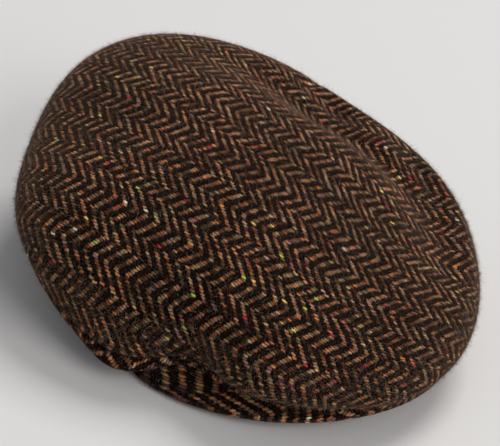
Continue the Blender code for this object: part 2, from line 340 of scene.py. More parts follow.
# Meshes from grids
def unit(vectors):
    """Vectors scaled to length 1."""
    return vectors / np.maximum(np.linalg.norm(vectors, axis=-1, keepdims=True), 1e-12)


def grid_normals(points, inside):
    """Normals of a grid closed round its columns: the cross product of its two slopes, away from a point."""
    down = np.gradient(points, axis=0)
    across = np.roll(points, -1, axis=1) - np.roll(points, 1, axis=1)
    normals = unit(np.cross(down, across))
    if ((points - inside) * normals).sum() < 0:
        normals = -normals
    return normals


def rounded_edge(points, normals, outward, thickness):
    """Rows that carry a cloth's outer face round its raw edge: half a circle of the cloth's thickness."""
    turns = np.radians(EDGE_TURNS)[:, None, None]
    middle = points - 0.5 * thickness * normals
    return middle + 0.5 * thickness * (np.cos(turns) * normals + np.sin(turns) * outward)


def make_mesh(name, points, cloth, ends=None, round_rows=False):
    """Mesh from a grid of points closed round its columns, with the cloth's coordinates as its UV map.

    cloth has one column more than points, so that a pattern can end where it began. ends are the two points
    that close the first and last rows, and round_rows joins the last row to the first.
    """
    rows, cols = points.shape[:2]
    grid = np.arange(rows * cols).reshape(rows, cols)
    turned = np.roll(grid, -1, axis=1)
    place = np.arange(rows * (cols + 1)).reshape(rows, cols + 1)
    top = slice(0, rows - 1)
    corners = [grid[top], grid[1:], turned[1:], turned[top]]
    places = [place[top, :-1], place[1:, :-1], place[1:, 1:], place[top, 1:]]
    faces = np.stack([c.ravel() for c in corners], axis=1)
    places = np.stack([p.ravel() for p in places], axis=1)
    if round_rows:
        faces = np.vstack([faces, np.stack([grid[-1], grid[0], turned[0], turned[-1]], axis=1)])
        last = np.stack([place[-1, :-1], place[0, :-1], place[0, 1:], place[-1, 1:]], axis=1)
        places = np.vstack([places, last])
    vertices = points.reshape(-1, 3)
    cloth = cloth.reshape(-1, 2)
    loops, loop_places = faces.ravel(), places.ravel()
    sizes = np.full(len(faces), 4)
    if ends is not None:
        first, last = len(vertices), len(vertices) + 1
        vertices = np.vstack([vertices, ends])
        tip = len(cloth)
        cloth = np.vstack([cloth, cloth[place[0]].mean(axis=0), cloth[place[-1]].mean(axis=0)])
        start = np.stack([np.full(cols, first), grid[0], turned[0]], axis=1)
        stop = np.stack([np.full(cols, last), turned[-1], grid[-1]], axis=1)
        start_places = np.stack([np.full(cols, tip), place[0, :-1], place[0, 1:]], axis=1)
        stop_places = np.stack([np.full(cols, tip + 1), place[-1, 1:], place[-1, :-1]], axis=1)
        loops = np.concatenate([loops, start.ravel(), stop.ravel()])
        loop_places = np.concatenate([loop_places, start_places.ravel(), stop_places.ravel()])
        sizes = np.concatenate([sizes, np.full(2 * cols, 3)])
    mesh = bpy.data.meshes.new(name)
    mesh.vertices.add(len(vertices))
    mesh.vertices.foreach_set("co", vertices.astype(np.float32).ravel())
    mesh.loops.add(len(loops))
    mesh.loops.foreach_set("vertex_index", loops.astype(np.int32))
    mesh.polygons.add(len(sizes))
    mesh.polygons.foreach_set("loop_start", (np.cumsum(sizes) - sizes).astype(np.int32))
    mesh.update(calc_edges=True)
    mesh.validate()
    layer = mesh.uv_layers.new(name="cloth")
    layer.data.foreach_set("uv", cloth[loop_places].astype(np.float32).ravel())
    mesh.shade_smooth()
    face_out(mesh)
    piece = bpy.data.objects.new(name, mesh)
    bpy.context.scene.collection.objects.link(piece)
    return piece


def face_out(mesh):
    """Turns a closed mesh's faces outwards, by the sign of its volume."""
    mesh.calc_loop_triangles()
    corners = np.empty(3 * len(mesh.loop_triangles), dtype=np.int32)
    mesh.loop_triangles.foreach_get("vertices", corners)
    places = np.empty(3 * len(mesh.vertices), dtype=np.float32)
    mesh.vertices.foreach_get("co", places)
    a, b, c = places.reshape(-1, 3)[corners.reshape(-1, 3)].transpose(1, 0, 2)
    if (a * np.cross(b, c)).sum() < 0:
        mesh.flip_normals()


def ring_angles(count):
    """Equally spaced angles round the cap."""
    return np.linspace(0.0, 2.0 * np.pi, count, endpoint=False)


def length_along(points, axis=0):
    """Distance along the rows or columns of a grid from its first one."""
    steps = np.linalg.norm(np.diff(points, axis=axis), axis=-1)
    start = np.zeros_like(np.take(steps, [0], axis=axis))
    return np.cumsum(np.concatenate([start, steps], axis=axis), axis=axis)


def wrap(grid):
    """Grid with its first column again at its end."""
    return np.concatenate([grid, grid[:, :1]], axis=1)


# Pieces
def crown_top_rows():
    """Outer face of the crown top, from next to its middle to where its raw edge is rounded."""
    angle = ring_angles(AROUND)
    rises = np.linspace(0.5 * np.pi, 0.0, DOME_ROWS + 1)[1:]
    rows = [top_surface(angle, rise) for rise in rises]
    rows += [on_plan(angle, *roll_line(angle, share)) for share in np.linspace(0.0, 1.0, ROLL_ROWS + 1)[1:]]
    return np.array(rows)


def make_crown_top():
    """Crown top: one disc of cloth, its outer face, its raw edge and its inner face.

    The cloth's coordinates are the distance from the middle along each ray, laid out at the ray's angle in
    plan, so that the disc lies flat, and turned so that the columns run CLOTH_TURN from the front. The picks
    slant by a share of the distance across, and the columns bend by products and squares of the distances
    past the two places where the crown starts to fall away.
    """
    angle = ring_angles(AROUND)
    outer = crown_top_rows()
    middle = top_surface(np.array([0.0]), 0.5 * np.pi)[0]
    normals = grid_normals(outer, np.array([0.0, 0.0, 0.0]))
    outward = unit(outer[-1] - outer[-2])
    edge = rounded_edge(outer[-1], normals[-1], outward, CLOTH)
    inner = (outer - CLOTH * normals)[::-1]
    points = np.concatenate([outer, edge, inner])
    from_middle = np.concatenate([np.broadcast_to(middle, (1, AROUND, 3)), outer])
    out = length_along(from_middle)[1:]
    x, y = plan(angle, 1.0)
    bearing = np.arctan2(x, -y)
    laid = np.stack([out * np.sin(bearing), -out * np.cos(bearing)], axis=-1)
    turn = np.radians(CLOTH_TURN)
    across = laid[..., 0] * np.cos(turn) + laid[..., 1] * np.sin(turn)
    along = laid[..., 0] * np.sin(turn) - laid[..., 1] * np.cos(turn)
    past_left = np.maximum(across - LEFT_BEND_START[0], 0.0) * np.maximum(along - LEFT_BEND_START[1], 0.0)
    past_back = np.maximum(along - BACK_BEND_START, 0.0) ** 2
    column = across - BACK_BEND * past_back - LEFT_BEND * past_left
    flat = np.stack([column, along + PICK_SLANT * across], axis=-1)
    cloth = np.concatenate([flat, np.repeat(flat[-1:], len(edge), axis=0), flat[::-1]])
    under = middle - np.array([0.0, 0.0, CLOTH])
    return make_mesh("crown_top_tweed", points, wrap(cloth), ends=np.array([middle, under]))


def strip_of_cloth(name, outer, inside, thickness):
    """Closed strip of cloth round the cap: outer face, one raw edge, inner face and the other raw edge.

    The cloth's coordinates are the length round the cap and the length along each row's rays.
    """
    normals = grid_normals(outer, inside)
    low = rounded_edge(outer[-1], normals[-1], unit(outer[-1] - outer[-2]), thickness)
    high = rounded_edge(outer[0], normals[0], unit(outer[0] - outer[1]), thickness)[::-1]
    points = np.concatenate([outer, low, (outer - thickness * normals)[::-1], high])
    middle_row = outer[len(outer) // 2]
    round_it = length_along(wrap(middle_row[None]), axis=1)
    down = wrap(length_along(outer))
    flat = np.stack([np.broadcast_to(round_it, down.shape), down], axis=-1)
    round_low = np.repeat(flat[-1:], len(low), axis=0)
    round_high = np.repeat(flat[:1], len(high), axis=0)
    cloth = np.concatenate([flat, round_low, flat[::-1], round_high])
    return make_mesh(name, points, cloth, round_rows=True)


def crown_side_rows():
    """Outer face of the crown side, from the rim seam to where the hem's raw edge is rounded."""
    angle = ring_angles(AROUND)
    rows = [side_surface(angle, along) for along in np.linspace(0.0, 1.0, SIDE_ROWS + 1)]
    stand = rows[-1]
    low = np.minimum(hem_height(angle) + 0.5 * CLOTH, stand[:, 2])
    for share in STAND_SHARES:
        row = stand.copy()
        row[:, 2] = stand[:, 2] + (low - stand[:, 2]) * share
        rows.append(row)
    return np.array(rows)


def make_crown_side():
    """Side panel from the rim seam, under the crown and down to the hem."""
    inside = np.array([0.0, 0.0, 0.5 * CROWN_HEIGHT])
    return strip_of_cloth("crown_side_tweed", crown_side_rows(), inside, CLOTH)


def make_band():
    """Inner band of soft cloth, standing inside the head opening."""
    angle = ring_angles(AROUND)
    reach = opening_reach(angle, CLOTH + CLEARANCE)
    bottom = np.maximum(hem_height(angle) - PEAK_THICKNESS - CLEARANCE, BAND_RECESS)
    low = bottom + 0.5 * BAND_THICKNESS
    high = bottom + BAND_HEIGHT - 0.5 * BAND_THICKNESS
    shares = np.linspace(1.0, 0.0, BAND_ROWS + 1)
    rows = np.array([on_plan(angle, reach, low + (high - low) * share) for share in shares])
    inside = np.array([0.0, 0.0, BAND_HEIGHT])
    return strip_of_cloth("inner_band_cloth", rows, inside, BAND_THICKNESS)


def peak_sections():
    """Closed sections of the peak: lines along its top, round its edge and back underneath.

    Also gives the number of the line in the middle of the edge.
    """
    end = np.radians(PEAK_END)
    angle = np.linspace(-end, end, PEAK_COLUMNS + 1)
    inner = opening_reach(angle, CLOTH)
    rounding = PEAK_EDGE_ROUND / (0.5 * CROWN_LENGTH)
    flat = peak_reach(angle) - rounding
    shares = np.linspace(0.0, 1.0, PEAK_ROWS + 1)

    def line(reach, below, top_reach):
        """Line along the peak at a reach, below the top's height at another reach."""
        return on_plan(angle, reach, peak_height(angle, top_reach) - below)

    top = [line(inner + (flat - inner) * s, 0.0, inner + (flat - inner) * s) for s in shares]
    under = [line(inner + (flat - inner) * s, PEAK_THICKNESS, inner + (flat - inner) * s) for s in shares]
    edge = [
        line(flat + rounding * np.cos(turn), 0.5 * PEAK_THICKNESS * (1.0 - np.sin(turn)), flat)
        for turn in np.radians(np.linspace(PEAK_EDGE_TURN, -PEAK_EDGE_TURN, PEAK_EDGE_ROWS))
    ]
    return np.stack(top + edge + under[::-1], axis=0), len(top) + len(edge) // 2


def make_peak():
    """Peak covered in the same cloth, which passes over its edge and back underneath.

    The cloth's columns run across the peak, turned by PEAK_CLOTH_TURN.
    """
    sections, middle = peak_sections()
    points = sections.transpose(1, 0, 2)
    over = length_along(sections)
    ahead = np.where(over <= over[middle], over - over[middle], over[middle] - over)
    turn = np.radians(PEAK_CLOTH_TURN)
    across = ahead * np.cos(turn) + sections[..., 0] * np.sin(turn)
    along = sections[..., 0] * np.cos(turn) - ahead * np.sin(turn)
    cloth = np.stack([across, along], axis=-1).transpose(1, 0, 2)
    ends = np.array([points[0].mean(axis=0), points[-1].mean(axis=0)])
    return make_mesh("peak_tweed", points, wrap(cloth), ends=ends)


# Shader helpers
def make_group(name, inputs, outputs):
    """Empty shader node group with named sockets; inputs are (name, kind, value)."""
    group = bpy.data.node_groups.new(name, "ShaderNodeTree")
    for label, kind, value in inputs:
        socket = group.interface.new_socket(label, in_out="INPUT", socket_type=kind)
        if value is not None:
            socket.default_value = value
    for label, kind in outputs:
        group.interface.new_socket(label, in_out="OUTPUT", socket_type=kind)
    return group, group.nodes.new("NodeGroupInput"), group.nodes.new("NodeGroupOutput")


def plug(tree, socket, value):
    """Links a socket or sets its value."""
    if isinstance(value, bpy.types.NodeSocket):
        tree.links.new(value, socket)
    else:
        socket.default_value = value


def calc(tree, operation, first, second=None, third=None):
    """One Math node's result."""
    node = tree.nodes.new("ShaderNodeMath")
    node.operation = operation
    for socket, value in zip(node.inputs, (first, second, third)):
        if value is not None:
            plug(tree, socket, value)
    return node.outputs[0]


def vector(tree, x, y, z=0.0):
    """Vector from three values."""
    node = tree.nodes.new("ShaderNodeCombineXYZ")
    for socket, value in zip(node.inputs, (x, y, z)):
        plug(tree, socket, value)
    return node.outputs[0]


def blend_colours(tree, kind, share, first, second):
    """Mix node for colours."""
    node = tree.nodes.new("ShaderNodeMix")
    node.data_type = "RGBA"
    node.blend_type = kind
    node.clamp_result = False
    plug(tree, node.inputs[0], share)
    plug(tree, node.inputs[6], first)
    plug(tree, node.inputs[7], second)
    return node.outputs[2]


def ramp(tree, value, stops, constant=False):
    """Colour ramp with (place, colour) stops."""
    node = tree.nodes.new("ShaderNodeValToRGB")
    node.color_ramp.interpolation = "CONSTANT" if constant else "LINEAR"
    elements = node.color_ramp.elements
    elements[0].position = stops[0][0]
    elements[1].position = stops[-1][0]
    for place, _ in stops[1:-1]:
        elements.new(place)
    for element, (_, colour) in zip(elements, stops):
        element.color = (*colour, 1.0)
    plug(tree, node.inputs[0], value)
    return node.outputs[0]


def noise(tree, place, scale, detail=2.0, roughness=0.5):
    """Noise texture: its value and its colour."""
    node = tree.nodes.new("ShaderNodeTexNoise")
    plug(tree, node.inputs["Vector"], place)
    node.inputs["Scale"].default_value = scale
    node.inputs["Detail"].default_value = detail
    node.inputs["Roughness"].default_value = roughness
    return node.outputs["Fac"], node.outputs["Color"]


def white_noise(tree, place):
    """Random value and colour for each place."""
    node = tree.nodes.new("ShaderNodeTexWhiteNoise")
    node.noise_dimensions = "3D"
    plug(tree, node.inputs["Vector"], place)
    return node.outputs["Value"], node.outputs["Color"]


def parts_of(tree, place):
    """The three values of a vector."""
    node = tree.nodes.new("ShaderNodeSeparateXYZ")
    plug(tree, node.inputs[0], place)
    return node.outputs


# Cloth. Colours are (place on a ramp, linear colour), and scales are cycles a metre.
WARP_COLOURS = (
    (0.00, (0.080, 0.036, 0.026)),
    (0.16, (0.140, 0.056, 0.034)),
    (0.30, (0.290, 0.090, 0.040)),
    (0.44, (0.350, 0.150, 0.062)),
    (0.54, (0.200, 0.126, 0.104)),
    (0.66, (0.370, 0.230, 0.096)),
    (0.76, (0.220, 0.176, 0.080)),
    (0.87, (0.240, 0.050, 0.070)),
    (1.00, (0.190, 0.114, 0.140)),
)
WEFT_COLOURS = (
    (0.00, (0.0040, 0.0032, 0.0034)),
    (0.50, (0.0070, 0.0048, 0.0046)),
    (0.70, (0.0300, 0.0150, 0.0120)),
    (1.00, (0.1100, 0.0560, 0.0440)),
)
# How far the yarns wander, as (scale, distance)
YARN_DRIFT = ((45.0, 0.0030), (230.0, 0.0008), (950.0, 0.0012))
# Noise that picks a warp's and a weft's colour: step between yarns, scale along them, and shift and spread
END_STEP = 1.37
PICK_STEP = 1.73
WARP_RUN = 130.0
WEFT_RUN = 900.0
WEFT_PLANE = 9.0
WARP_TONE = (2.0, 0.32)
FLOAT_TONE = 0.36
FIBRE_SCALES = (3200.0, 900.0)
FIBRE_SPREAD = (2.4, 0.9)
FIBRE_LOW = 0.15
FLOAT_CURVE = 1.4
FLOAT_SPREAD = (1.46, 0.13)
FLECK_SHARE = 0.016
FLECK_COLOURS = (
    (0.00, (0.46, 0.030, 0.045)),
    (0.20, (0.62, 0.200, 0.035)),
    (0.38, (0.66, 0.500, 0.120)),
    (0.58, (0.34, 0.460, 0.075)),
    (0.76, (0.24, 0.012, 0.045)),
    (0.88, (0.66, 0.600, 0.440)),
)
# Loose fibres over the cloth: directions in degrees, scales along and across a fibre, distance between the
# planes of noise, scale of their colours, share of the cloth that they hide, and colours
NAP_DIRECTIONS = (22.0, 81.0, 147.0)
NAP_SCALES = (420.0, 3000.0)
NAP_PLANE = 5.0
NAP_TONE_SCALE = 700.0
NAP_SHARES = (
    (0.64, (0.0, 0.0, 0.0)),
    (0.76, (0.45, 0.45, 0.45)),
)
NAP_COLOURS = (
    (0.30, (0.050, 0.024, 0.016)),
    (0.50, (0.120, 0.060, 0.040)),
    (0.70, (0.230, 0.140, 0.095)),
)
# Painted shade by the height of the weave, darkest in the hollows between the yarns and lighter on their
# tops, and slow changes from place to place
HOLLOW_PAINTED_SHADE = (
    (0.22, (0.08, 0.08, 0.08)),
    (0.56, (0.60, 0.57, 0.56)),
    (0.94, (1.20, 1.20, 1.20)),
)
PATCH_SHADES = (
    (0.30, (0.80, 0.82, 0.84)),
    (0.70, (1.18, 1.14, 1.10)),
)
PATCH_SCALE = 16.0
# Relief: a float's arch, the weft's height beside the warp's, fine wool over them, and their depth in metres
ARCH_FLATNESS = 0.6
WEFT_HEIGHT = 0.7
WOOL_SCALE = 1900.0
WOOL_ROUGHNESS = 0.65
WOOL_RELIEF = 0.5
WEAVE_RELIEF = 0.0004
WOOL_SHINE = 0.02
SHEEN = 0.17
SHEEN_ROUGHNESS = 0.35
SHEEN_TINT = (1.00, 0.66, 0.47)
# The band's cotton: distances between ribs and threads, and their reliefs
RIB_SPACING = 0.0009
THREAD_SPACING = 0.0006
THREAD_RELIEF = 0.35
BAND_RELIEF = 0.00015
BAND_FUZZ_SCALE = 900.0
BAND_COLOURS = (
    (0.3, (0.010, 0.009, 0.009)),
    (0.7, (0.024, 0.020, 0.018)),
)


def weave_group():
    """Herringbone twill of three over and three under, whose climb turns round every column of ends.

    The phase is the pick's number plus the end's, or minus it in every other column, counted in sixes:
    below 3 the warp end lies on top for three picks, from 3 the weft pick lies on top for three ends. Every
    other column starts half a repeat on, so that the twill breaks there. The height of a float is a half
    circle across the yarn times a flattened arch along it.
    """
    group, given, made = make_group(
        "herringbone_weave",
        (
            ("Cloth", "NodeSocketVector", None),
            ("End spacing", "NodeSocketFloat", END_SPACING),
            ("Pick spacing", "NodeSocketFloat", PICK_SPACING),
            ("Ends in column", "NodeSocketFloat", ENDS_IN_COLUMN),
        ),
        (
            ("Warp on top", "NodeSocketFloat"),
            ("Height", "NodeSocketFloat"),
            ("Yarn", "NodeSocketVector"),
            ("Float", "NodeSocketVector"),
        ),
    )
    across, along, _ = parts_of(group, given.outputs["Cloth"])
    across = calc(group, "DIVIDE", across, given.outputs["End spacing"])
    along = calc(group, "DIVIDE", along, given.outputs["Pick spacing"])
    end, in_end = calc(group, "FLOOR", across), calc(group, "FRACT", across)
    pick, in_pick = calc(group, "FLOOR", along), calc(group, "FRACT", along)
    column = calc(group, "FLOOR", calc(group, "DIVIDE", end, given.outputs["Ends in column"]))
    odd = calc(group, "FLOORED_MODULO", column, 2.0)
    way = calc(group, "MULTIPLY_ADD", odd, -2.0, 1.0)
    climb = calc(group, "ADD", calc(group, "MULTIPLY", end, way), calc(group, "MULTIPLY", odd, FLOAT_LENGTH))
    climbed = calc(group, "ADD", pick, climb)
    phase = calc(group, "FLOORED_MODULO", climbed, 2.0 * FLOAT_LENGTH)
    warp = calc(group, "LESS_THAN", phase, FLOAT_LENGTH - 0.5)
    warp_along = calc(group, "DIVIDE", calc(group, "ADD", phase, in_pick), FLOAT_LENGTH)
    rising = calc(group, "SUBTRACT", phase, FLOAT_LENGTH)
    falling = calc(group, "SUBTRACT", 2.0 * FLOAT_LENGTH - 1.0, phase)
    step = calc(group, "ADD", rising, calc(group, "MULTIPLY", odd, calc(group, "SUBTRACT", falling, rising)))
    weft_along = calc(group, "DIVIDE", calc(group, "ADD", step, in_end), FLOAT_LENGTH)

    def float_height(across_yarn, along_yarn):
        """Height of a float from the shares across its yarn and along it."""
        off = calc(group, "MULTIPLY_ADD", across_yarn, 2.0, -1.0)
        left = calc(group, "SUBTRACT", 1.0, calc(group, "MULTIPLY", off, off))
        round_yarn = calc(group, "SQRT", calc(group, "MAXIMUM", left, 0.0))
        arch = calc(group, "SINE", calc(group, "MULTIPLY", along_yarn, np.pi))
        arch = calc(group, "POWER", calc(group, "MAXIMUM", arch, 0.0), ARCH_FLATNESS)
        return calc(group, "MULTIPLY", round_yarn, arch)

    warp_height = float_height(in_end, warp_along)
    weft_height = calc(group, "MULTIPLY", float_height(in_pick, weft_along), WEFT_HEIGHT)
    difference = calc(group, "SUBTRACT", warp_height, weft_height)
    height = calc(group, "MULTIPLY_ADD", difference, warp, weft_height)
    group.links.new(warp, made.inputs["Warp on top"])
    group.links.new(height, made.inputs["Height"])
    group.links.new(vector(group, end, pick, column), made.inputs["Yarn"])
    turn = calc(group, "FLOOR", calc(group, "DIVIDE", climbed, 2.0 * FLOAT_LENGTH))
    group.links.new(vector(group, end, turn, warp), made.inputs["Float"])
    return group


def yarn_group():
    """Colours of heathered yarns: each end and pick runs through mixed wools, with bright neps in places.

    A warp colour is read from the palette at a noise along its end, shifted by a random share for each float,
    and made lighter and darker by fine fibres along the yarn.
    """
    group, given, made = make_group(
        "heathered_yarns",
        (
            ("Cloth", "NodeSocketVector", None),
            ("Yarn", "NodeSocketVector", None),
            ("Float", "NodeSocketVector", None),
            ("Flecks", "NodeSocketFloat", FLECK_SHARE),
        ),
        (("Warp", "NodeSocketColor"), ("Weft", "NodeSocketColor")),
    )
    end, pick, _ = parts_of(group, given.outputs["Yarn"])
    across, along, _ = parts_of(group, given.outputs["Cloth"])
    run = vector(group, calc(group, "MULTIPLY", end, END_STEP), calc(group, "MULTIPLY", along, WARP_RUN))
    tone, _ = noise(group, run, 1.0, 2.0, 0.6)
    chance, choice = white_noise(group, given.outputs["Float"])
    which, lightness, _ = parts_of(group, choice)
    tone = calc(group, "MULTIPLY_ADD", calc(group, "SUBTRACT", tone, 0.5), *WARP_TONE)
    tone = calc(group, "MULTIPLY_ADD", which, FLOAT_TONE, tone)
    warp = ramp(group, tone, WARP_COLOURS)
    fibre_across = calc(group, "MULTIPLY", across, FIBRE_SCALES[0])
    fibre_along = calc(group, "MULTIPLY", along, FIBRE_SCALES[1])
    fibre_place = vector(group, fibre_across, fibre_along)
    fibre, _ = noise(group, fibre_place, 1.0, 2.0, 0.6)
    fibre = calc(group, "MULTIPLY_ADD", calc(group, "SUBTRACT", fibre, 0.5), *FIBRE_SPREAD)
    fibre = calc(group, "MAXIMUM", fibre, FIBRE_LOW)
    spread = calc(group, "MULTIPLY_ADD", calc(group, "POWER", lightness, FLOAT_CURVE), *FLOAT_SPREAD)
    lighter = calc(group, "MULTIPLY", spread, fibre)
    warp = blend_colours(group, "MULTIPLY", 1.0, warp, vector(group, lighter, lighter, lighter))
    fleck = calc(group, "LESS_THAN", chance, given.outputs["Flecks"])
    warp = blend_colours(group, "MIX", fleck, warp, ramp(group, lightness, FLECK_COLOURS, constant=True))
    weft_run = calc(group, "MULTIPLY", across, WEFT_RUN)
    run = vector(group, weft_run, calc(group, "MULTIPLY", pick, PICK_STEP), WEFT_PLANE)
    tone, _ = noise(group, run, 1.0, 2.0, 0.6)
    weft = ramp(group, tone, WEFT_COLOURS)
    group.links.new(warp, made.inputs["Warp"])
    group.links.new(weft, made.inputs["Weft"])
    return group


def nap_group():
    """Loose fibres that lie over the cloth: the highest of three noises, each drawn out its own way."""
    group, given, made = make_group(
        "loose_fibres",
        (("Cloth", "NodeSocketVector", None),),
        (("Fibres", "NodeSocketFloat"), ("Colour", "NodeSocketColor")),
    )
    across, along, _ = parts_of(group, given.outputs["Cloth"])
    highest = None
    for number, degrees in enumerate(NAP_DIRECTIONS):
        turn = np.radians(degrees)
        cosine, sine = float(np.cos(turn)), float(np.sin(turn))
        lengthwise = calc(group, "MULTIPLY", across, cosine * NAP_SCALES[0])
        lengthwise = calc(group, "ADD", lengthwise, calc(group, "MULTIPLY", along, sine * NAP_SCALES[0]))
        crosswise = calc(group, "MULTIPLY", across, -sine * NAP_SCALES[1])
        crosswise = calc(group, "ADD", crosswise, calc(group, "MULTIPLY", along, cosine * NAP_SCALES[1]))
        value, _ = noise(group, vector(group, lengthwise, crosswise, NAP_PLANE * number), 1.0, 1.0)
        highest = value if highest is None else calc(group, "MAXIMUM", highest, value)
    fibres = ramp(group, highest, NAP_SHARES)
    tone, _ = noise(group, given.outputs["Cloth"], NAP_TONE_SCALE, 1.0)
    group.links.new(parts_of(group, fibres)[0], made.inputs["Fibres"])
    group.links.new(ramp(group, tone, NAP_COLOURS), made.inputs["Colour"])
    return group


def cloth_place(tree):
    """The piece's cloth coordinates, with the yarns wandering: a slow drift and a fine unevenness."""
    node = tree.nodes.new("ShaderNodeUVMap")
    node.uv_map = "cloth"
    place = node.outputs["UV"]
    for scale, amount in YARN_DRIFT:
        _, drift = noise(tree, node.outputs["UV"], scale, 1.0)
        centre = tree.nodes.new("ShaderNodeVectorMath")
        centre.operation = "SUBTRACT"
        tree.links.new(drift, centre.inputs[0])
        centre.inputs[1].default_value = (0.5, 0.5, 0.5)
        moved = tree.nodes.new("ShaderNodeVectorMath")
        moved.operation = "MULTIPLY_ADD"
        tree.links.new(centre.outputs[0], moved.inputs[0])
        moved.inputs[1].default_value = (amount, amount, 0.0)
        tree.links.new(place, moved.inputs[2])
        place = moved.outputs[0]
    return place


def tweed_material(name, weave, yarns, nap):
    """Woollen herringbone: warp floats of mixed colours over a dark weft, with painted shade in the hollows
    between the yarns and lighter on their tops.
    """
    material = bpy.data.materials.new(name)
    material.use_nodes = True
    tree = material.node_tree
    shader = tree.nodes["Principled BSDF"]
    place = cloth_place(tree)
    cloth = tree.nodes.new("ShaderNodeGroup")
    cloth.node_tree = weave
    tree.links.new(place, cloth.inputs["Cloth"])
    colours = tree.nodes.new("ShaderNodeGroup")
    colours.node_tree = yarns
    tree.links.new(place, colours.inputs["Cloth"])
    tree.links.new(cloth.outputs["Yarn"], colours.inputs["Yarn"])
    tree.links.new(cloth.outputs["Float"], colours.inputs["Float"])
    on_top = cloth.outputs["Warp on top"]
    colour = blend_colours(tree, "MIX", on_top, colours.outputs["Weft"], colours.outputs["Warp"])
    # Painted shade: the colour is darkened in the weave's hollows between the yarns and lightened on their
    # tops
    painted_hollow_shade = ramp(tree, cloth.outputs["Height"], HOLLOW_PAINTED_SHADE)
    colour = blend_colours(tree, "MULTIPLY", 1.0, colour, painted_hollow_shade)
    loose = tree.nodes.new("ShaderNodeGroup")
    loose.node_tree = nap
    tree.links.new(place, loose.inputs["Cloth"])
    colour = blend_colours(tree, "MIX", loose.outputs["Fibres"], colour, loose.outputs["Colour"])
    broad, _ = noise(tree, place, PATCH_SCALE, 3.0)
    colour = blend_colours(tree, "MULTIPLY", 1.0, colour, ramp(tree, broad, PATCH_SHADES))
    tree.links.new(colour, shader.inputs["Base Color"])
    shader.inputs["Roughness"].default_value = 1.0
    shader.inputs["Specular IOR Level"].default_value = WOOL_SHINE
    shader.inputs["Sheen Weight"].default_value = SHEEN
    shader.inputs["Sheen Roughness"].default_value = SHEEN_ROUGHNESS
    shader.inputs["Sheen Tint"].default_value = (*SHEEN_TINT, 1.0)
    wool, _ = noise(tree, place, WOOL_SCALE, 3.0, WOOL_ROUGHNESS)
    relief = calc(tree, "MULTIPLY_ADD", wool, WOOL_RELIEF, cloth.outputs["Height"])
    bump = tree.nodes.new("ShaderNodeBump")
    bump.inputs["Strength"].default_value = 1.0
    bump.inputs["Distance"].default_value = WEAVE_RELIEF
    tree.links.new(relief, bump.inputs["Height"])
    tree.links.new(bump.outputs["Normal"], shader.inputs["Normal"])
    return material


def band_material():
    """Plain dark cotton band with fine ribs along it."""
    material = bpy.data.materials.new("band_cotton")
    material.use_nodes = True
    tree = material.node_tree
    shader = tree.nodes["Principled BSDF"]
    node = tree.nodes.new("ShaderNodeUVMap")
    node.uv_map = "cloth"
    round_it, down, _ = parts_of(tree, node.outputs["UV"])
    rib_turn = calc(tree, "MULTIPLY", down, np.pi / RIB_SPACING)
    rib = calc(tree, "ABSOLUTE", calc(tree, "SINE", rib_turn))
    thread_turn = calc(tree, "MULTIPLY", round_it, np.pi / THREAD_SPACING)
    thread = calc(tree, "ABSOLUTE", calc(tree, "SINE", thread_turn))
    relief = calc(tree, "MULTIPLY_ADD", thread, THREAD_RELIEF, rib)
    fuzz, _ = noise(tree, node.outputs["UV"], BAND_FUZZ_SCALE, 3.0)
    tint = ramp(tree, fuzz, BAND_COLOURS)
    tree.links.new(tint, shader.inputs["Base Color"])
    shader.inputs["Roughness"].default_value = 0.8
    shader.inputs["Sheen Weight"].default_value = 0.2
    bump = tree.nodes.new("ShaderNodeBump")
    bump.inputs["Distance"].default_value = BAND_RELIEF
    tree.links.new(relief, bump.inputs["Height"])
    tree.links.new(bump.outputs["Normal"], shader.inputs["Normal"])
    return material


# Stray wool
def strands(points, normals, lengths, rng, radius):
    """Fine hairs as three-sided tubes that end in a point: two rings of three corners, and the tip.

    A hair leaves its root along the normal leant over by a random slope, and bends on by the square of its
    length. Hairs that would reach the floor lie on it.
    """
    count = len(points)
    lean = rng.normal(0.0, 1.0, (count, 3))
    lean -= (lean * normals).sum(axis=1, keepdims=True) * normals
    slope = rng.uniform(*HAIR_LEANS, (count, 1))
    start = unit(normals + slope * unit(lean))
    curl = unit(rng.normal(0.0, 1.0, (count, 3)))
    side = unit(np.cross(start, curl))
    up = np.cross(side, start)

    def centre(share):
        """Middle of the hair at a share of its length."""
        bend = curl * (lengths * HAIR_CURL * share ** 2)[:, None]
        return points + start * (lengths * share)[:, None] + bend

    rings = []
    for share, width in ((0.0, radius), (0.5, HAIR_WAIST * radius)):
        for turn in np.radians((0.0, 120.0, 240.0)):
            rings.append(centre(share) + width * (np.cos(turn) * side + np.sin(turn) * up))
    tubes = np.stack([*rings, centre(1.0)], axis=1)
    tubes[..., 2] = np.maximum(tubes[..., 2], 0.0)
    return tubes


